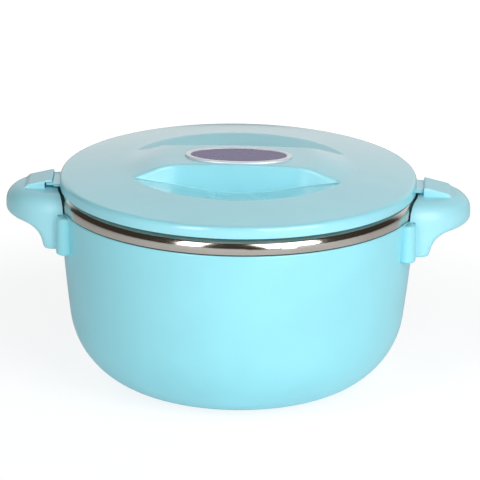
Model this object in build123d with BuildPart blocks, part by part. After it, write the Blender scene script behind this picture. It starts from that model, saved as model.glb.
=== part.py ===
from build123d import *
from math import asin, degrees, radians, sqrt, tan
import os

os.makedirs("parts", exist_ok=True)

# All sizes in millimetres. Radii are from the middle axis and heights from the table.
# The right handle is on +X, the front of the casserole faces -Y.

# Outer shell
shell_height = 124.7       # ledge below the steel band
shell_top_radius = 120.0
shell_wall = 2.5
base_inset = 63.2          # end of the flat underside inside the top edge
corner_radius = 56.0       # large round from the underside to the side
corner_turn = 82.5         # degrees the round turns before the side begins
foot_height = 1.5          # recess inside the foot ring
foot_width = 10.0
lip_height = 5.0           # lip that stands inside the steel band
ledge_round = 0.8

# Rails beside the handles
rail_radius = 6.0
rail_spread = 39.0         # half the distance between the two rails of a handle
rail_drop = 0.5            # top of a rail below the ledge
rail_length = 26.2
rail_round = 2.0
rail_stand = 0.5           # middle of a rail outside the shell's top edge

# Inner pot of steel sheet
sheet = 0.6
base_insulation = 8.5
rim_width = 13.0           # from the band inwards to the pot's mouth
pot_taper = 47.5           # end of the flat floor inside the mouth
pot_corner_radius = 42.0
pot_corner_turn = 84.0
flare_radius = 3.5         # from the pot's side to the top of its rim
shoulder_radius = 6.5      # from the top of the rim to the upright band
band_gap = 1.1             # dark line between ledge and band
band_height = 10.3
band_proud = 0.5           # band outside the shell's top edge

# Lid
lid_inset = 0.5            # lid's side inside the band
lid_gap = 0.9              # lid's lower edge above the pot rim
lid_side = 7.4
lid_lean = 0.6             # crease along the top inside the foot of the side
side_foot = 1.2            # upright foot of the side
side_bulge = 60.0          # radius of the slightly bulged side
crease_round = 3.0
lid_wall = 2.5
ring_width = 40.0          # gently domed ring along the lid's edge
ring_rise = 5.4
ring_entry = 0.8           # slope of the ring at its inner end, against its mean slope
crown_inset = 72.0         # bridge almost flat from this far inside the lid's side
crown_drop = 1.0
bridge_rise = 13.8
dish_depth = 11.4          # scoop floors, carried on to the middle, below the lid's edge
dish_slope = 12.6          # degrees the scoop floors rise outwards
bridge_half = 23.5
bridge_straight = 42.0     # half length of the bridge's straight edge
bridge_flare = 15.5        # degrees the edge turns outwards at its ends
bridge_draft = 5.0         # degrees the bridge's walls lean
bridge_corner = 45.0
bridge_round = 2.0
bridge_foot_round = 1.0
snap_lip = 0.8             # inward lip that holds the liner
snap_height = 0.7

# Lid liner and seal
liner_wall = 2.0
liner_gap = 3.0            # between liner and the pot's mouth
liner_depth = 14.0         # floor of the liner below the pot rim
liner_round = 4.0
flange_thickness = 1.8
seal_width = 3.0
seal_groove = 1.2          # how deep the seal stands in the flange

# Handles
handle_length = 36.0       # outermost point outside the shell's top edge
handle_start = 2.0         # where its outline begins to close, inside that edge
handle_half = 36.0
handle_tip = 26.0          # radius of the outline at its outer end
handle_rise = 10.6         # its top above the ledge
grip_drop = 10.4           # underside that the fingers hold, below the ledge
grip_rise = 2.0            # how much the underside rises to its outer end
handle_drop = 25.2         # its foot below the ledge
root_length = 12.8         # its root outside the shell's top edge
root_lean = 4.5
root_round = 13.0
handle_top_round = 11.3
handle_low_round = 4.5
handle_foot_round = 3.0
handle_gap = 1.2           # between handle and lid
core_wall = 3.5            # wall around the cores in the handle's underside
core_rib = 3.0
core_top = 9.0             # plastic above the cores

# Twist lock
lock_lead = 0.2            # rise of the lid for each degree of turn
ear_mouth = 13.0           # ear from the middle towards the slot's mouth
ear_end = 9.6              # and towards the slot's closed end
ear_thickness = 2.0
ear_reach = 4.2            # ear outside the lid, before the tongue
tongue_reach = 4.2
tongue_mouth = 12.0        # tongue, measured like the ear
tongue_end = 8.0
tongue_thickness = 1.5
slot_clearance = 0.45
slot_room = 0.6            # slot outside the tongue
hood_half = 12.7
hood_height = 6.6
hood_length = 16.0
hood_tail = 2.7            # height of the hood's outer end
hood_runout = 5.0          # lean of its end face
hood_sink = 2.0            # hood's root below the handle's top
hood_round = 1.2

# Handle screws
screw_drop = 19.7          # below the ledge
screw_spread = 12.0
screw_shank = 3.6
screw_head = 7.6
screw_head_height = 2.4
screw_seat = 5.0           # plastic under the screw's head
screw_length = 13.0
boss_radius = 4.5
boss_length = 6.0
cross_width = 1.2
cross_depth = 1.3

# Plugs of the foam filling holes
plug_radius = 8.0
plug_flange = 3.0
plug_flange_height = 1.1
plug_barb = 1.5

# Badge on the bridge
badge_half_length = 35.9
badge_half_width = 18.8
badge_frame = 3.8
badge_shift = 2.4          # badge in front of the lid's middle
badge_seat = 1.5           # seat below the top of the bridge
badge_height = 2.4
plate_drop = 0.5          # plate below the frame's top

# Clearances
fit = 0.3                  # between pieces that do not move against each other
loose = 0.2                # screws, plugs and inlays

# Heights and radii that follow
shell_floor = foot_height + shell_wall
base_radius = shell_top_radius - base_inset
band_radius = shell_top_radius + band_proud
band_foot = shell_height + band_gap
rim_top = band_foot + band_height
curl_radius = sheet + fit / 2
pot_mouth_radius = band_radius - rim_width
pot_base_radius = pot_mouth_radius - pot_taper
lip_radius = band_radius - sheet - fit
lip_inner = shell_top_radius - shell_wall
pot_floor = shell_floor + base_insulation
lid_radius = band_radius - lid_inset
lid_bottom = rim_top + lid_gap
lid_edge = lid_bottom + lid_side
lid_crease = lid_radius - lid_lean
lid_top = lid_edge + bridge_rise
ring_radius = lid_radius - ring_width
crown_radius = lid_radius - crown_inset
flange_bottom = lid_bottom + snap_height + fit
flange_top = flange_bottom + flange_thickness
side_slope = lid_lean / (lid_side - lid_wall - side_foot)
flange_radius = lid_radius - lid_wall - fit - (flange_top - lid_bottom - side_foot) * side_slope
liner_radius = pot_mouth_radius - liner_gap
liner_floor = rim_top - liner_depth
seal_middle = (pot_mouth_radius + flare_radius + band_radius - shoulder_radius) / 2
seal_inner = seal_middle - seal_width / 2
seal_outer = seal_middle + seal_width / 2
seal_foot = rim_top + loose
seal_top = flange_bottom + seal_groove - fit
hood_start = lid_radius + ear_reach + fit
tongue_radius = lid_radius + ear_reach + tongue_reach
ear_top = lid_bottom + ear_thickness
lead_slope = lock_lead / (radians(1) * tongue_radius)
slot_back = sqrt(tongue_radius ** 2 + tongue_mouth ** 2) + slot_room
tongue_tip = ear_top - lead_slope * (tongue_mouth + tongue_end)
rail_top = shell_height - rail_drop
rail_foot = rail_top - rail_length
rail_x = sqrt((shell_top_radius + rail_stand) ** 2 - rail_spread ** 2)
handle_reach = shell_top_radius + handle_length
handle_middle = shell_top_radius - handle_start
handle_top = shell_height + handle_rise
grip_height = shell_height - grip_drop
handle_foot = shell_height - handle_drop
root_reach = shell_top_radius + root_length
screw_height = shell_height - screw_drop
seat_face = shell_top_radius + screw_seat
badge_plane = Plane((0, -badge_shift, lid_top - badge_seat))


def bowl_section(base, floor, corner, turn, mouth, top):
    floor_line = Line((0, floor), (base, floor))
    corner_arc = JernArc(floor_line @ 1, (1, 0), corner, turn)
    side_arc = TangentArc(corner_arc @ 1, (mouth, top), tangent=corner_arc % 1)
    Polyline(side_arc @ 1, (0, top), (0, floor))


def shell_section(inset, floor):
    bowl_section(base_radius, floor, corner_radius - floor, corner_turn,
                 shell_top_radius - inset, shell_height)


# Body of the shell's outside, grown by a clearance where another piece stands against it
def shell_body(growth):
    with BuildPart() as body:
        with BuildSketch(Plane.XZ):
            with BuildLine():
                shell_section(-growth, -growth)
            make_face()
        revolve(axis=Axis.Z)
    return body.part


# Rods along X on both sides of the casserole, where the handle screws go
def side_rods(radius, start, end):
    with BuildPart() as rods:
        with BuildSketch(Plane.YZ.offset(start)):
            with Locations((-screw_spread, screw_height), (screw_spread, screw_height)):
                Circle(radius)
        extrude(amount=end - start)
        mirror(about=Plane.YZ)
    return rods.part


shell_solid = shell_body(0)
boss_rods = side_rods(boss_radius, lip_inner - boss_length, shell_top_radius)
pilot_rods = side_rods(screw_shank / 2 + loose / 2, 0, band_radius)

with BuildPart() as shell_hollow:
    with BuildSketch(Plane.XZ):
        with BuildLine():
            shell_section(shell_wall, shell_floor)
        make_face()
    revolve(axis=Axis.Z)
    add(boss_rods, mode=Mode.SUBTRACT)

with BuildPart() as rails:
    with BuildSketch(Plane.XY.offset(rail_foot)):
        with GridLocations(2 * rail_x, 2 * rail_spread, 2, 2):
            Circle(rail_radius)
    extrude(amount=rail_length)
    fillet(rails.edges().filter_by(GeomType.CIRCLE), rail_round)

with BuildPart() as outer_shell:
    add(shell_solid)
    fillet(outer_shell.edges().group_by(Axis.Z)[-1], ledge_round)
    add(rails.part)
    add(shell_hollow.part, mode=Mode.SUBTRACT)
    with BuildSketch(Plane.XY.offset(shell_height - lip_height)):
        Circle(lip_radius)
        Circle(lip_inner, mode=Mode.SUBTRACT)
    extrude(amount=2 * lip_height)
    with BuildSketch(Plane.XY):
        Circle(base_radius - foot_width)
    extrude(amount=foot_height, mode=Mode.SUBTRACT)
    with BuildSketch(Plane.XY):
        Circle(plug_radius)
    extrude(amount=shell_floor, mode=Mode.SUBTRACT)
    add(pilot_rods, mode=Mode.SUBTRACT)

outer_shell.part.label = "outer_shell"
export_step(outer_shell.part, "parts/outer_shell.step")


# One face of the pot's sheet, from the middle of its floor to the curled foot of its band
def pot_face(depth):
    floor_line = Line((0, pot_floor - depth), (pot_base_radius, pot_floor - depth))
    corner_arc = JernArc(floor_line @ 1, (1, 0), pot_corner_radius + depth, pot_corner_turn)
    side_top = (pot_mouth_radius + depth, rim_top - flare_radius)
    side_arc = TangentArc(corner_arc @ 1, side_top, tangent=corner_arc % 1)
    flare_end = (pot_mouth_radius + flare_radius, rim_top - depth)
    flare_arc = RadiusArc(side_arc @ 1, flare_end, flare_radius - depth)
    rim_line = Line(flare_arc @ 1, (band_radius - shoulder_radius, rim_top - depth))
    shoulder_end = (band_radius - depth, rim_top - shoulder_radius)
    shoulder_arc = RadiusArc(rim_line @ 1, shoulder_end, shoulder_radius - depth)
    band_line = Line(shoulder_arc @ 1, (band_radius - depth, band_foot + curl_radius))
    curl_end = (band_radius - curl_radius, band_foot + depth)
    curl_arc = RadiusArc(band_line @ 1, curl_end, curl_radius - depth)
    return floor_line @ 0, curl_arc @ 1


with BuildPart() as inner_pot:
    with BuildSketch(Plane.XZ):
        with BuildLine():
            inside_start, inside_end = pot_face(0)
            outside_start, outside_end = pot_face(sheet)
            Line(inside_start, outside_start)
            Line(inside_end, outside_end)
        make_face()
    revolve(axis=Axis.Z)

inner_pot.part.label = "inner_pot"
export_step(inner_pot.part, "parts/inner_pot.step")


foam_rods = side_rods(boss_radius + fit, lip_inner - boss_length - fit, shell_top_radius)

with BuildPart() as body_foam:
    with BuildSketch(Plane.XZ):
        with BuildLine():
            shell_section(shell_wall + fit, shell_floor + fit)
        make_face()
    revolve(axis=Axis.Z)
    with BuildSketch(Plane.XZ):
        with BuildLine():
            bowl_section(pot_base_radius, pot_floor - sheet - fit, pot_corner_radius + sheet + fit,
                         pot_corner_turn, pot_mouth_radius + sheet + fit, rim_top - flare_radius)
        make_face()
    revolve(axis=Axis.Z, mode=Mode.SUBTRACT)
    add(foam_rods, mode=Mode.SUBTRACT)
    with BuildSketch(Plane.XY):
        Circle(plug_radius + fit)
    extrude(amount=shell_floor + plug_barb + fit, mode=Mode.SUBTRACT)

body_foam.part.label = "body_foam"
export_step(body_foam.part, "parts/body_foam.step")

with BuildPart() as base_plug:
    with BuildSketch(Plane.XY.offset(foot_height - plug_flange_height)):
        Circle(plug_radius + plug_flange)
    extrude(amount=plug_flange_height)
    fillet(base_plug.edges().group_by(Axis.Z)[0], plug_flange_height / 2)
    with BuildSketch(Plane.XY.offset(foot_height)):
        Circle(plug_radius - loose / 2)
    extrude(amount=shell_wall + plug_barb)
    chamfer(base_plug.edges().group_by(Axis.Z)[-1], plug_barb / 2)

base_plug.part.label = "base_plug"
export_step(base_plug.part, "parts/base_plug.step")

# Handles: the right one is drawn, the left one is the same piece turned half way round
shell_clear = shell_body(loose)

with BuildPart() as handle_clear:
    add(shell_clear)
    with BuildSketch(Plane.XY.offset(handle_foot - handle_foot_round)):
        with Locations((rail_x, -rail_spread), (rail_x, rail_spread)):
            Circle(rail_radius + loose)
    extrude(amount=rail_top + loose - handle_foot + handle_foot_round)
    with BuildSketch(Plane.XY.offset(shell_height)):
        Circle(lid_radius + handle_gap)
    extrude(amount=lid_top - shell_height)
    with BuildSketch(Plane.YZ):
        with Locations((-screw_spread, screw_height), (screw_spread, screw_height)):
            Circle(screw_shank / 2 + fit)
    extrude(amount=handle_reach)
    with BuildSketch(Plane.YZ.offset(seat_face)):
        with Locations((-screw_spread, screw_height), (screw_spread, screw_height)):
            Circle(screw_head / 2 + fit)
    extrude(amount=handle_reach - seat_face)


# Outline of a handle from above, its sides run into a rounder outer end
def handle_outline(inset, start):
    half = handle_half - inset
    tip = handle_tip - inset
    tip_middle = handle_reach - handle_tip
    side = ((tip_middle - handle_middle) ** 2 + half ** 2 - tip ** 2) / (2 * (half - tip))
    turn = degrees(asin((tip_middle - handle_middle) / (side - tip)))
    front_line = Line((start, -half), (handle_middle, -half))
    front_arc = JernArc(front_line @ 1, (1, 0), side, turn)
    tip_arc = JernArc(front_arc @ 1, front_arc % 1, tip, 180 - 2 * turn)
    back_arc = JernArc(tip_arc @ 1, tip_arc % 1, side, turn)
    Polyline(back_arc @ 1, (start, half), (start, -half))


with BuildPart() as right_handle:
    with BuildSketch(Plane.XY.offset(handle_foot)):
        with BuildLine():
            handle_outline(0, pot_mouth_radius)
        make_face()
    extrude(amount=handle_top - handle_foot)
    with BuildSketch(Plane.XZ):
        with BuildLine():
            FilletPolyline(
                (root_reach - root_lean, handle_foot),
                (root_reach, grip_height),
                (handle_reach + fit, grip_height + grip_rise),
                (handle_reach + fit, handle_foot),
                radius=(0, root_round, 0, 0),
                close=True,
            )
        make_face()
    extrude(amount=2 * handle_half, both=True, mode=Mode.SUBTRACT)
    top_edges = right_handle.faces().sort_by(Axis.Z)[-1].edges()
    rounded_edges = top_edges.filter_by_position(Axis.X, pot_mouth_radius + fit, handle_reach + fit)
    fillet(rounded_edges, handle_top_round)
    tip_face = right_handle.faces().sort_by(Axis.X)[-1]
    fillet(tip_face.edges().sort_by(Axis.Z)[0], handle_low_round)
    foot_edges = right_handle.edges().group_by(Axis.Z)[0]
    fillet(foot_edges.filter_by_position(Axis.X, pot_mouth_radius + fit, handle_reach), handle_foot_round)
    # Cores that keep the moulding from being thick
    with BuildSketch(Plane.XY.offset(grip_height)):
        with BuildLine():
            handle_outline(core_wall, pot_mouth_radius)
        make_face()
        with Locations((root_reach + root_round / 2 + handle_half, 0)):
            Rectangle(2 * handle_half, 2 * handle_half, mode=Mode.INTERSECT)
            Rectangle(2 * handle_half, core_rib, mode=Mode.SUBTRACT)
    extrude(amount=handle_top - core_top - grip_height, mode=Mode.SUBTRACT)
    # Hood over the lid's tongue
    with BuildSketch(Plane.XZ):
        with BuildLine():
            Polyline(
                (hood_start, handle_top - hood_sink),
                (hood_start, handle_top + hood_height),
                (hood_start + hood_length, handle_top + hood_tail),
                (hood_start + hood_length + hood_runout, handle_top - hood_sink),
                close=True,
            )
        make_face()
    extrude(amount=hood_half, both=True)
    fillet(right_handle.faces().sort_by(Axis.Z)[-1].edges(), hood_round)
    # Slot with its ramped roof, open towards the back on this side
    with BuildSketch(Plane.YZ.offset(hood_start - fit)):
        with BuildLine():
            Polyline(
                (-tongue_end - fit, handle_top),
                (-tongue_end - fit, tongue_tip - lead_slope * fit + slot_clearance),
                (handle_half, ear_top + lead_slope * (handle_half - tongue_mouth) + slot_clearance),
                (handle_half, handle_top),
                close=True,
            )
        make_face()
    extrude(amount=slot_back - hood_start + fit, mode=Mode.SUBTRACT)
    add(handle_clear.part, mode=Mode.SUBTRACT)

right_handle.part.label = "right_handle"
export_step(right_handle.part, "parts/right_handle.step")

with BuildPart() as left_handle:
    add(right_handle.part, rotation=(0, 0, 180))

left_handle.part.label = "left_handle"
export_step(left_handle.part, "parts/left_handle.step")

with BuildPart() as right_handle_screws:
    with BuildSketch(Plane.YZ.offset(seat_face - screw_length)):
        with Locations((-screw_spread, screw_height), (screw_spread, screw_height)):
            Circle(screw_shank / 2)
    extrude(amount=screw_length)
    chamfer(right_handle_screws.edges().group_by(Axis.X)[0], screw_shank / 4)
    with BuildSketch(Plane.YZ.offset(seat_face)):
        with Locations((-screw_spread, screw_height), (screw_spread, screw_height)):
            Circle(screw_head / 2)
    extrude(amount=screw_head_height)
    fillet(right_handle_screws.edges().group_by(Axis.X)[-1], screw_head_height / 2)
    with BuildSketch(Plane.YZ.offset(seat_face + screw_head_height)):
        with Locations((-screw_spread, screw_height), (screw_spread, screw_height)):
            Rectangle(cross_width, screw_head / 2)
            Rectangle(screw_head / 2, cross_width)
    extrude(amount=-cross_depth, mode=Mode.SUBTRACT)

right_handle_screws.part.label = "right_handle_screws"
export_step(right_handle_screws.part, "parts/right_handle_screws.step")

with BuildPart() as left_handle_screws:
    add(right_handle_screws.part, rotation=(0, 0, 180))

left_handle_screws.part.label = "left_handle_screws"
export_step(left_handle_screws.part, "parts/left_handle_screws.step")


# Outline of the bridge from above at one height of its leaning walls
def bridge_outline(half):
    spread = half + (lid_crease - bridge_straight) * tan(radians(bridge_flare))
    FilletPolyline(
        (-lid_crease, -spread),
        (-bridge_straight, -half),
        (bridge_straight, -half),
        (lid_crease, -spread),
        (lid_crease, spread),
        (bridge_straight, half),
        (-bridge_straight, half),
        (-lid_crease, spread),
        radius=(0, bridge_corner, bridge_corner, 0, 0, bridge_corner, bridge_corner, 0),
        close=True,
    )


# The lid as a closed block, its outside drawn in by an inset, down to the height of its foot
def lid_block(inset, foot):
    dish_middle = lid_edge - dish_depth - inset
    dish_rim = dish_middle + lid_radius * tan(radians(dish_slope))
    lean = (lid_top - dish_middle) * tan(radians(bridge_draft))
    with BuildPart() as scoops:
        with BuildSketch(Plane.XZ):
            with BuildLine():
                Polyline(
                    (0, dish_middle),
                    (lid_radius, dish_rim),
                    (lid_radius, 2 * lid_top),
                    (0, 2 * lid_top),
                    close=True,
                )
            make_face()
        revolve(axis=Axis.Z)
        with BuildSketch(Plane.XY.offset(dish_middle)):
            with BuildLine():
                bridge_outline(bridge_half - inset + lean)
            make_face()
        with BuildSketch(Plane.XY.offset(lid_top)):
            with BuildLine():
                bridge_outline(bridge_half - inset)
            make_face()
        loft(mode=Mode.SUBTRACT)
    with BuildPart() as block:
        with BuildSketch(Plane.XZ):
            with BuildLine():
                crown_end = (crown_radius, lid_top - crown_drop - inset)
                crown_arc = TangentArc((0, lid_top - inset), crown_end, tangent=(1, 0))
                ring_start = (ring_radius, lid_edge + ring_rise - inset)
                ring_fall = ring_rise / (lid_crease - inset - ring_radius)
                crease = (lid_crease - inset, lid_edge - inset)
                ring_arc = TangentArc(ring_start, crease, tangent=(1, -ring_fall * ring_entry))
                Spline(crown_arc @ 1, ring_arc @ 0, tangents=(crown_arc % 1, ring_arc % 0))
                side_start = (lid_radius - inset, lid_bottom + side_foot)
                side_arc = RadiusArc(ring_arc @ 1, side_start, side_bulge)
                Polyline(side_arc @ 1, (lid_radius - inset, foot), (0, foot), crown_arc @ 0)
            make_face()
        revolve(axis=Axis.Z)
        add(scoops.part, mode=Mode.SUBTRACT)
    return block.part


lid_outside = lid_block(0, lid_bottom)
lid_inside = lid_block(lid_wall, liner_floor)
lid_filling = lid_block(lid_wall + fit, liner_floor + liner_wall + fit)

with BuildPart() as right_ear:
    with BuildSketch(Plane.XY.offset(lid_bottom)):
        with Locations((lid_radius + ear_reach, -ear_end)):
            Rectangle(ear_reach + lid_wall / 2, ear_end + ear_mouth, align=(Align.MAX, Align.MIN))
        Circle(lid_radius + ear_reach, mode=Mode.INTERSECT)
    extrude(amount=ear_thickness)
    with BuildSketch(Plane.YZ.offset(lid_radius + ear_reach / 2)):
        with BuildLine():
            Polyline(
                (-tongue_end, tongue_tip - tongue_thickness),
                (-tongue_end, tongue_tip),
                (tongue_mouth, ear_top),
                (tongue_mouth, ear_top - tongue_thickness),
                close=True,
            )
        make_face()
    extrude(amount=ear_reach / 2 + tongue_reach)


# Long edges of the scoops by their height: feet of the bridge's walls first, its top edges last
def scoop_edges(block):
    curves = block.edges().filter_by(GeomType.BSPLINE)
    return curves.filter_by(lambda edge: edge.length > bridge_straight).group_by(Axis.Z)


with BuildPart() as lid_cover:
    add(lid_outside)
    circles = lid_cover.edges().filter_by(GeomType.CIRCLE)
    fillet(circles.filter_by(lambda circle: abs(circle.radius - lid_crease) < fit), crease_round)
    fillet(scoop_edges(lid_cover)[0], bridge_foot_round)
    fillet(scoop_edges(lid_cover)[-1], bridge_round)
    add(lid_inside, mode=Mode.SUBTRACT)
    with BuildSketch(Plane.XY.offset(lid_bottom)):
        Circle(lid_radius - lid_wall / 2)
        Circle(flange_radius - snap_lip, mode=Mode.SUBTRACT)
    extrude(amount=snap_height)
    add(right_ear.part)
    add(right_ear.part, rotation=(0, 0, 180))
    with BuildSketch(badge_plane):
        Ellipse(badge_half_length + loose / 2, badge_half_width + loose / 2)
    extrude(amount=2 * badge_seat, mode=Mode.SUBTRACT)

lid_cover.part.label = "lid_cover"
export_step(lid_cover.part, "parts/lid_cover.step")

with BuildPart() as lid_liner:
    with BuildSketch(Plane.XY.offset(liner_floor)):
        Circle(liner_radius)
    extrude(amount=flange_bottom - liner_floor)
    fillet(lid_liner.edges().group_by(Axis.Z)[0], liner_round)
    with BuildSketch(Plane.XY.offset(flange_bottom)):
        Circle(flange_radius)
    extrude(amount=flange_thickness)
    with BuildSketch(Plane.XY.offset(liner_floor + liner_wall)):
        Circle(liner_radius - liner_wall)
    extrude(amount=flange_top - liner_floor, mode=Mode.SUBTRACT)
    with BuildSketch(Plane.XY.offset(flange_bottom)):
        Circle(seal_outer + fit)
        Circle(seal_inner - fit, mode=Mode.SUBTRACT)
    extrude(amount=seal_groove, mode=Mode.SUBTRACT)
    with BuildSketch(Plane.XY.offset(liner_floor)):
        Circle(plug_radius)
    extrude(amount=liner_wall, mode=Mode.SUBTRACT)

lid_liner.part.label = "lid_liner"
export_step(lid_liner.part, "parts/lid_liner.step")

with BuildPart() as lid_seal:
    with BuildSketch(Plane.XY.offset(seal_foot)):
        Circle(seal_outer)
        Circle(seal_inner, mode=Mode.SUBTRACT)
    extrude(amount=seal_top - seal_foot)
    fillet(lid_seal.edges().group_by(Axis.Z)[0], seal_width / 4)

lid_seal.part.label = "lid_seal"
export_step(lid_seal.part, "parts/lid_seal.step")

with BuildPart() as lid_foam:
    add(lid_filling)
    with BuildSketch(Plane.XY.offset(liner_floor)):
        Circle(lid_radius)
        Circle(liner_radius - liner_wall - fit, mode=Mode.SUBTRACT)
    extrude(amount=flange_top + fit - liner_floor, mode=Mode.SUBTRACT)
    with BuildSketch(Plane.XY.offset(liner_floor)):
        Circle(plug_radius + fit)
    extrude(amount=liner_wall + plug_barb + fit, mode=Mode.SUBTRACT)

lid_foam.part.label = "lid_foam"
export_step(lid_foam.part, "parts/lid_foam.step")

with BuildPart() as lid_plug:
    with BuildSketch(Plane.XY.offset(liner_floor - plug_flange_height)):
        Circle(plug_radius + plug_flange)
    extrude(amount=plug_flange_height)
    fillet(lid_plug.edges().group_by(Axis.Z)[0], plug_flange_height / 2)
    with BuildSketch(Plane.XY.offset(liner_floor)):
        Circle(plug_radius - loose / 2)
    extrude(amount=liner_wall + plug_barb)
    chamfer(lid_plug.edges().group_by(Axis.Z)[-1], plug_barb / 2)

lid_plug.part.label = "lid_plug"
export_step(lid_plug.part, "parts/lid_plug.step")

with BuildPart() as badge_rim:
    with BuildSketch(badge_plane):
        Ellipse(badge_half_length, badge_half_width)
        Ellipse(badge_half_length - badge_frame, badge_half_width - badge_frame, mode=Mode.SUBTRACT)
    extrude(amount=badge_height)
    fillet(badge_rim.edges().group_by(Axis.Z)[-1], badge_frame / 4)

badge_rim.part.label = "badge_rim"
export_step(badge_rim.part, "parts/badge_rim.step")

with BuildPart() as badge_plate:
    with BuildSketch(badge_plane):
        Ellipse(badge_half_length - badge_frame - loose / 2, badge_half_width - badge_frame - loose / 2)
    extrude(amount=badge_height - plate_drop)

badge_plate.part.label = "badge_plate"
export_step(badge_plate.part, "parts/badge_plate.step")
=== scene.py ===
import math

import bpy
from mathutils import Matrix, Vector

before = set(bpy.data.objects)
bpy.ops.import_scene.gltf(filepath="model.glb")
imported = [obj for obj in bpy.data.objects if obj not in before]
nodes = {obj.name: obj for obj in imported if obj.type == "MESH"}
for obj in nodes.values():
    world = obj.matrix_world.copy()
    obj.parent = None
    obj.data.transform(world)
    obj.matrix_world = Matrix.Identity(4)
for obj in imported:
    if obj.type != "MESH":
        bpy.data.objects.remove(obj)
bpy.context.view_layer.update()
print("frame:", len(nodes), "pieces loaded")


class Wire:                     # one socket of a shader, with arithmetic on it
    def __init__(self, tree, socket=None):
        self.tree = tree
        self.socket = socket

    def node(self, kind, settings=None, inputs=None, output=0):
        made = self.tree.nodes.new("ShaderNode" + kind)
        for name, value in (settings or {}).items():
            setattr(made, name, value)
        for name, value in (inputs or {}).items():
            if isinstance(value, Wire):
                self.tree.links.new(value.socket, made.inputs[name])
            else:
                made.inputs[name].default_value = value
        return Wire(self.tree, made.outputs[output] if made.outputs else None)

    def beside(self, *outputs):         # other outputs of the same node
        return [Wire(self.tree, self.socket.node.outputs[name]) for name in outputs]

    def math(self, how, other=0.0):
        return self.node("Math", {"operation": how}, {0: self, 1: other})

    def __add__(self, other):
        return self.math("ADD", other)

    def __sub__(self, other):
        return self.math("SUBTRACT", other)

    def __rsub__(self, other):
        return self.node("Math", {"operation": "SUBTRACT"}, {0: other, 1: self})

    def __mul__(self, other):
        return self.math("MULTIPLY", other)

    __radd__ = __add__
    __rmul__ = __mul__

    def between(self, low, high):       # 0 below low, 1 above high, smooth
        return self.node("MapRange", {"interpolation_type": "SMOOTHSTEP"},
                         {"Value": self, "From Min": low, "From Max": high})

    def ranged(self, low, high):        # low where this is 0, high where it is 1
        return low + (high - low) * self

    def shared(self, share, other):     # so much of this, the rest of the other
        return share * self + (1 - share) * other

    def mixed(self, first, second):     # colours, this socket is the factor
        return self.node("Mix", {"data_type": "RGBA"}, {0: self, 6: first, 7: second}, 2)

    def noise(self, at, scale, detail=3.0, rough=0.5):
        return self.node("TexNoise", {"noise_dimensions": "3D"},
                         {"Vector": at, "Scale": scale, "Detail": detail, "Roughness": rough})

    def stretched(self, scale):
        return self.node("VectorMath", {"operation": "MULTIPLY"}, {0: self, 1: scale})

    def bump(self, strength, depth):    # this socket is the height
        return self.node("Bump", None, {"Strength": strength, "Distance": depth, "Height": self})


def newMaterial(name):
    material = bpy.data.materials.new(name)
    material.use_nodes = True
    material.node_tree.nodes.clear()
    return material, Wire(material.node_tree)


def finishMaterial(wire, shader):
    wire.node("OutputMaterial", None, {"Surface": shader})


def principled(wire, inputs):
    finishMaterial(wire, wire.node("BsdfPrincipled", None, inputs))


def place(wire):                # metres, in the frame of the part
    return wire.node("TexCoord", None, None, "Object")


def roundAxis(point):           # radius, height and turn about the pot's axis
    x, y, z = point.node("SeparateXYZ", None, {0: point}).beside("X", "Y", "Z")
    return (x * x + y * y).math("SQRT"), z, y.math("ARCTAN2", x)


# glossy moulded plastic: shell, handles and lid
aqua = {
    "shell": (0.335, 0.825, 0.935, 1),
    "handle": (0.40, 0.83, 0.935, 1),
    "lid": (0.355, 0.815, 0.925, 1),
    "deep": 0.96,                # darker clouds in the colour
    "cloud": 18,                 # sizes of the noises, per metre
    "grain": 1500,
    "ripple": 420,
    "rub": (35, 35, 260),        # streaks lie level
    "clouded": (0.35, 0.65),
    "rubbed": (0.48, 0.72),
    "gloss": (0.26, 0.38),       # roughness from polished to rubbed
    "lidGloss": (0.18, 0.26),
    "cloudShare": 0.55,          # clouds in the roughness, the rest is rubbing
    "coat": (0.15, 0.26),        # weight and roughness of the smooth skin
    "lidCoat": (0.65, 0.07),
    "index": 1.49,
    "bump": 0.35,
    "peel": 0.00003,             # height of the moulded ripple, m
    "grainHeight": 0.3,          # grain against ripple
    "shadedSeam": (0.1246, 0.1252),    # heights in the joint below the band where painted shade darkens the plastic for the shadow in the gap, m
    # painted shade: dark colour standing for the shadow in the gap under the steel band
    "jointShade": (0.02, 0.035, 0.035, 1),
}


def mouldedPlastic(name, colour, gloss, coat, shadedSeam=None):
    material, w = newMaterial(name)
    at = place(w)
    cloud = w.noise(at, aqua["cloud"], 4)
    grain = w.noise(at, aqua["grain"], 2)
    ripple = w.noise(at, aqua["ripple"], 2)
    rub = w.noise(at.stretched(aqua["rub"]), 1, 5, 0.7).between(*aqua["rubbed"])
    dark = tuple(c * aqua["deep"] for c in colour[:3]) + (1,)
    tone = cloud.between(*aqua["clouded"]).mixed(dark, colour)
    # painted shade: above these heights the shell's plastic turns dark, standing for the shadow in the gap
    # under the steel band
    if shadedSeam:
        height = roundAxis(at)[1]
        tone = height.between(*shadedSeam).mixed(tone, aqua["jointShade"])
    principled(w, {
        "Base Color": tone,
        "Roughness": cloud.shared(aqua["cloudShare"], rub).ranged(*gloss),
        "IOR": aqua["index"],
        "Normal": (ripple + aqua["grainHeight"] * grain).bump(aqua["bump"], aqua["peel"]),
        "Coat Weight": coat[0],
        "Coat Roughness": coat[1]})
    return material


# polished steel of the inner pot, with the fine rings of its spinning
steel = {
    "colour": (0.58, 0.55, 0.51, 1),
    "warm": (0.50, 0.46, 0.41, 1),
    "gloss": (0.09, 0.18),
    "rings": 2600,               # per metre
    "ringBreaks": 1.5,           # how fast a ring changes along its turn
    "haze": 30,
    "ringTone": 0.6,             # rings in the colour and in the roughness, the rest is haze
    "ringGloss": 0.5,
    "tones": (0.3, 0.7),
    "bump": 0.2,
    "depth": 0.00002,
}


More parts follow.
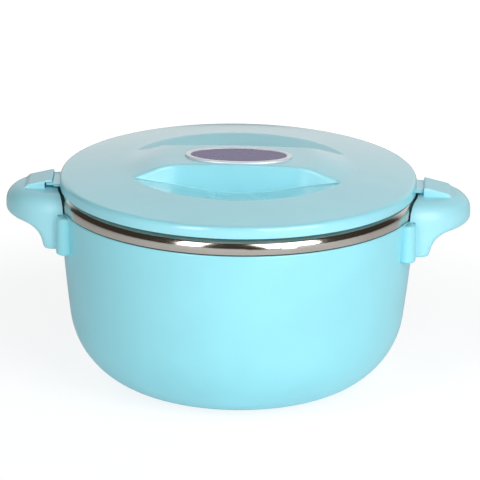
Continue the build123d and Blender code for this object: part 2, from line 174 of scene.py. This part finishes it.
def spunSteel(name):
    material, w = newMaterial(name)
    at = place(w)
    radius, height, turn = roundAxis(at)
    rings = w.node("CombineXYZ", None, {
        0: radius * steel["rings"], 1: height * steel["rings"], 2: turn * steel["ringBreaks"]})
    line = w.noise(rings, 1, 3, 0.65)
    haze = w.noise(at, steel["haze"], 4)
    tone = line.shared(steel["ringTone"], haze).between(*steel["tones"])
    principled(w, {
        "Base Color": tone.mixed(steel["warm"], steel["colour"]),
        "Metallic": 1.0,
        "Roughness": line.shared(steel["ringGloss"], haze).ranged(*steel["gloss"]),
        "Normal": line.bump(steel["bump"], steel["depth"])})
    return material


# white plastic of the liner and the plugs
whitePlastic = {
    "colour": (0.80, 0.83, 0.83, 1),
    "shade": (0.72, 0.76, 0.77, 1),
    "gloss": (0.36, 0.5),
    "cloud": 22,
    "grain": 2200,
    "clouded": (0.35, 0.65),
    "bump": 0.3,
    "depth": 0.00002,
}


def linerPlastic(name):
    material, w = newMaterial(name)
    at = place(w)
    cloud = w.noise(at, whitePlastic["cloud"], 4)
    grain = w.noise(at, whitePlastic["grain"], 2)
    tone = cloud.between(*whitePlastic["clouded"])
    principled(w, {
        "Base Color": tone.mixed(whitePlastic["shade"], whitePlastic["colour"]),
        "Roughness": cloud.ranged(*whitePlastic["gloss"]),
        "Normal": grain.bump(whitePlastic["bump"], whitePlastic["depth"])})
    return material


# rubber of the seal, dusty in spots
silicone = {
    "colour": (0.72, 0.74, 0.72, 1),
    "shade": (0.62, 0.64, 0.63, 1),
    "gloss": (0.42, 0.62),
    "cloud": 60,
    "dust": 900,
    "skin": 1400,
    "clouded": (0.3, 0.7),
    "dusty": (0.6, 0.75),
    "bump": 0.3,
    "depth": 0.00003,
}


def paleSilicone(name):
    material, w = newMaterial(name)
    at = place(w)
    cloud = w.noise(at, silicone["cloud"], 4)
    dust = w.noise(at, silicone["dust"], 3).between(*silicone["dusty"])
    skin = w.noise(at, silicone["skin"], 2)
    tone = cloud.between(*silicone["clouded"])
    principled(w, {
        "Base Color": tone.mixed(silicone["shade"], silicone["colour"]),
        "Roughness": dust.ranged(*silicone["gloss"]),
        "Normal": skin.bump(silicone["bump"], silicone["depth"])})
    return material


# insulation of body and lid
foam = {
    "colour": (0.80, 0.71, 0.47, 1),
    "shade": (0.62, 0.52, 0.30, 1),
    "gloss": (0.85, 0.95),
    "cells": 900,
    "cloud": 40,
    "cellShare": 0.6,
    "tones": (0.1, 0.7),
    "bump": 0.7,
    "depth": 0.0004,
}


def paleFoam(name):
    material, w = newMaterial(name)
    at = place(w)
    cells = w.node("TexVoronoi", {"feature": "F1"}, {"Vector": at, "Scale": foam["cells"]})
    cloud = w.noise(at, foam["cloud"], 4)
    tone = cells.shared(foam["cellShare"], cloud).between(*foam["tones"])
    principled(w, {
        "Base Color": tone.mixed(foam["shade"], foam["colour"]),
        "Roughness": cloud.ranged(*foam["gloss"]),
        "Normal": cells.bump(foam["bump"], foam["depth"])})
    return material


# plating of the handle screws
zinc = {
    "colour": (0.62, 0.62, 0.61, 1),
    "shade": (0.42, 0.42, 0.42, 1),
    "gloss": (0.28, 0.48),
    "spots": 500,
    "skin": 3000,
    "tones": (0.3, 0.7),
    "bump": 0.3,
    "depth": 0.00002,
}


def zincSteel(name):
    material, w = newMaterial(name)
    at = place(w)
    spot = w.noise(at, zinc["spots"], 4)
    skin = w.noise(at, zinc["skin"], 2)
    principled(w, {
        "Base Color": spot.between(*zinc["tones"]).mixed(zinc["shade"], zinc["colour"]),
        "Metallic": 1.0,
        "Roughness": spot.ranged(*zinc["gloss"]),
        "Normal": skin.bump(zinc["bump"], zinc["depth"])})
    return material


# silvery frame of the badge on the bridge
badgeFrame = {
    "silver": (0.86, 0.90, 0.96, 1),
    "shade": (0.78, 0.83, 0.90, 1),
    "gloss": (0.3, 0.45),
    "metallic": 0.3,
    "coat": (0.5, 0.2),          # weight and roughness
    "brush": (60, 2500, 2500),   # brushed along the bridge
    "tones": (0.3, 0.7),
    "bump": 0.1,
    "depth": 0.00002,
}


def badgeSilver(name):
    material, w = newMaterial(name)
    brush = w.noise(place(w).stretched(badgeFrame["brush"]), 1, 3)
    principled(w, {
        "Base Color": brush.between(*badgeFrame["tones"]).mixed(badgeFrame["shade"], badgeFrame["silver"]),
        "Metallic": badgeFrame["metallic"],
        "Roughness": brush.ranged(*badgeFrame["gloss"]),
        "Normal": brush.bump(badgeFrame["bump"], badgeFrame["depth"]),
        "Coat Weight": badgeFrame["coat"][0],
        "Coat Roughness": badgeFrame["coat"][1]})
    return material


# purple plate in that frame
badgePlate = {
    "purple": (0.085, 0.045, 0.22, 1),
    "light": (0.12, 0.070, 0.28, 1),
    "gloss": (0.22, 0.32),
    "cloud": 60,
    "specks": 2600,
    "skin": 700,
    "specked": (0.55, 0.75),
    "cloudShare": 0.7,
    "tones": (0.25, 0.65),
    "bump": 0.12,
    "depth": 0.00002,
}


def badgePurple(name):
    material, w = newMaterial(name)
    at = place(w)
    cloud = w.noise(at, badgePlate["cloud"], 3)
    speck = w.noise(at, badgePlate["specks"], 2).between(*badgePlate["specked"])
    skin = w.noise(at, badgePlate["skin"], 2)
    tone = cloud.shared(badgePlate["cloudShare"], speck).between(*badgePlate["tones"])
    principled(w, {
        "Base Color": tone.mixed(badgePlate["purple"], badgePlate["light"]),
        "Roughness": cloud.ranged(*badgePlate["gloss"]),
        "Normal": skin.bump(badgePlate["bump"], badgePlate["depth"])})
    return material


looks = {
    "outer_shell": mouldedPlastic("shellAqua", aqua["shell"], aqua["gloss"], aqua["coat"], aqua["shadedSeam"]),
    "right_handle": mouldedPlastic("handleAqua", aqua["handle"], aqua["gloss"], aqua["coat"]),
    "lid_cover": mouldedPlastic("lidAqua", aqua["lid"], aqua["lidGloss"], aqua["lidCoat"]),
    "inner_pot": spunSteel("potSteel"),
    "lid_liner": linerPlastic("linerWhite"),
    "lid_seal": paleSilicone("sealSilicone"),
    "body_foam": paleFoam("foam"),
    "right_handle_screws": zincSteel("screwZinc"),
    "badge_rim": badgeSilver("badgeSilver"),
    "badge_plate": badgePurple("badgePurple"),
}
looks["left_handle"] = looks["right_handle"]
looks["left_handle_screws"] = looks["right_handle_screws"]
looks["lid_foam"] = looks["body_foam"]
looks["base_plug"] = looks["lid_plug"] = looks["lid_liner"]
for name, material in looks.items():
    nodes[name].data.materials.clear()
    nodes[name].data.materials.append(material)
print("materials:", len(bpy.data.materials))


# the studio: white table, two soft boxes in front, a weak one above, a lit backdrop behind, the rest is dark
studio = {
    "floorSize": 60.0,
    "floorDrop": 0.0002,         # floor below the foot ring
    "floorColour": (0.78, 0.79, 0.80, 1),
    "floorLit": 0.17,            # its own light towards the object
    "floorNear": (0.82, 0.82, 0.82, 1),     # light of the white floor in the picture
    "floorFar": (1.0, 1.0, 1.0, 1),
    "floorFade": (0.2, 0.55),    # metres from the middle
    "shadowShare": 0.35,         # how much of its colour is left there to show the shadow
    "roomColour": (0.060, 0.050, 0.040, 1),
    "backdropColour": (0.70, 0.76, 0.82, 1),   # its light on the object, it is white in mirrors
    "backdropMiddle": 176.0,     # degrees from the front towards the right
    "backdropEdge": (0.56, 0.78),
    "backdropTop": (0.70, 0.92),
}
plainWhite = (1, 1, 1, 1)


def rays(wire):                  # looked at straight or through something clear, and mirrored
    path = wire.node("LightPath")
    camera, passing, mirrored = path.beside("Is Camera Ray", "Is Transmission Ray", "Is Glossy Ray")
    return camera.math("MAXIMUM", passing), mirrored


def makeFloor():
    half = studio["floorSize"] / 2
    corners = [(-half, -half, 0), (half, -half, 0), (half, half, 0), (-half, half, 0)]
    mesh = bpy.data.meshes.new("floor")
    mesh.from_pydata(corners, [], [(0, 1, 2, 3)])
    floor = bpy.data.objects.new("floor", mesh)
    bpy.context.scene.collection.objects.link(floor)
    floor.location.z = -studio["floorDrop"]
    material, w = newMaterial("floorWhite")
    seen = rays(w)[0]
    radius = roundAxis(place(w))[0]
    full = studio["floorColour"]
    pale = tuple(c * studio["shadowShare"] for c in full[:3]) + (1,)
    glow = radius.between(*studio["floorFade"]).mixed(studio["floorNear"], studio["floorFar"])
    sides = []
    for colour, light, strength in ((full, plainWhite, studio["floorLit"]), (pale, glow, 1.0)):
        matt = w.node("BsdfDiffuse", None, {"Color": colour})
        shine = w.node("Emission", None, {"Color": light, "Strength": strength})
        sides.append(w.node("AddShader", None, {0: matt, 1: shine}))
    finishMaterial(w, w.node("MixShader", None, {0: seen, 1: sides[0], 2: sides[1]}))
    mesh.materials.append(material)


def makeWorld():
    world = bpy.data.worlds.new("studioWorld")
    world.use_nodes = True
    world.node_tree.nodes.clear()
    w = Wire(world.node_tree)
    facing = w.node("TexCoord", None, None, "Generated")
    turn = math.radians(studio["backdropMiddle"])
    behind = w.node("VectorMath", {"operation": "DOT_PRODUCT"},
                    {0: facing, 1: (math.sin(turn), -math.cos(turn), 0)}, "Value")
    height = w.node("SeparateXYZ", None, {0: facing}, "Z")
    lit = behind.between(*studio["backdropEdge"]) * (1 - height.between(*studio["backdropTop"]))
    tone = lit.mixed(studio["roomColour"], studio["backdropColour"])
    room = w.node("Background", None, {"Color": tone, "Strength": 1.0})
    white = w.node("Background", None, {"Color": plainWhite, "Strength": 1.0})
    seen, mirrored = rays(w)
    shown = w.node("MixShader", None, {0: seen.math("MAXIMUM", mirrored * lit), 1: room, 2: white})
    w.node("OutputWorld", None, {"Surface": shown})
    bpy.context.scene.world = world


boxes = {                        # azimuth, elevation, distance, width, height, radiance
    "keyBox": (35.0, 26.0, 1.7, 1.1, 1.5, 4.1),
    "fillBox": (-28.0, 26.0, 1.7, 0.46, 1.5, 4.1),
    "topBox": (10.0, 76.0, 1.7, 1.0, 1.0, 0.65),
}
boxTarget = Vector((0, 0, 0.08))


def outwards(azimuth, elevation):       # degrees from the front towards the right, and up
    a, e = math.radians(azimuth), math.radians(elevation)
    return Vector((math.sin(a) * math.cos(e), -math.cos(a) * math.cos(e), math.sin(e)))


def makeBox(name, azimuth, elevation, distance, width, height, radiance):
    lamp = bpy.data.lights.new(name, "AREA")
    lamp.shape = "RECTANGLE"
    lamp.size, lamp.size_y = width, height
    lamp.energy = radiance * math.pi * width * height
    box = bpy.data.objects.new(name, lamp)
    bpy.context.scene.collection.objects.link(box)
    out = outwards(azimuth, elevation)
    box.location = boxTarget + out * distance
    box.rotation_euler = (-out).to_track_quat("-Z", "Y").to_euler()
    box.visible_camera = False


makeFloor()
makeWorld()
for name, values in boxes.items():
    makeBox(name, *values)
print("studio:", len(boxes), "soft boxes")


# camera as in the photograph
cameraSetup = {
    "distance": 4.0,
    "azimuth": 1.8,
    "elevation": 17.2,
    "roll": 0.75,
    "picture": 480,              # pixels, as the next two
    "focal": 5960.0,
    "targetPixel": (238.5, 176.6),
    "target": (0, 0, 0.1427),
    "sensor": 36.0,              # mm
    "farEnd": 100.0,
}


def makeCamera():
    out = outwards(cameraSetup["azimuth"], cameraSetup["elevation"])
    roll = Matrix.Rotation(math.radians(cameraSetup["roll"]), 3, "Z")
    level = (-out).to_track_quat("-Z", "Y").to_matrix() @ roll
    middle = cameraSetup["picture"] / 2
    u, v = cameraSetup["targetPixel"]
    aim = level @ Vector((middle - u, v - middle, -cameraSetup["focal"]))
    turn = (level @ Vector((0, 0, -1))).rotation_difference(aim.normalized())
    lens = bpy.data.cameras.new("camera")
    lens.sensor_width = cameraSetup["sensor"]
    lens.lens = cameraSetup["focal"] * cameraSetup["sensor"] / cameraSetup["picture"]
    lens.clip_end = cameraSetup["farEnd"]
    camera = bpy.data.objects.new("camera", lens)
    bpy.context.scene.collection.objects.link(camera)
    stand = Vector(cameraSetup["target"]) + out * cameraSetup["distance"]
    camera.matrix_world = Matrix.Translation(stand) @ (turn.to_matrix() @ level).to_4x4()
    bpy.context.scene.camera = camera


makeCamera()
bpy.context.scene.view_settings.view_transform = "Standard"
print("camera: ready")
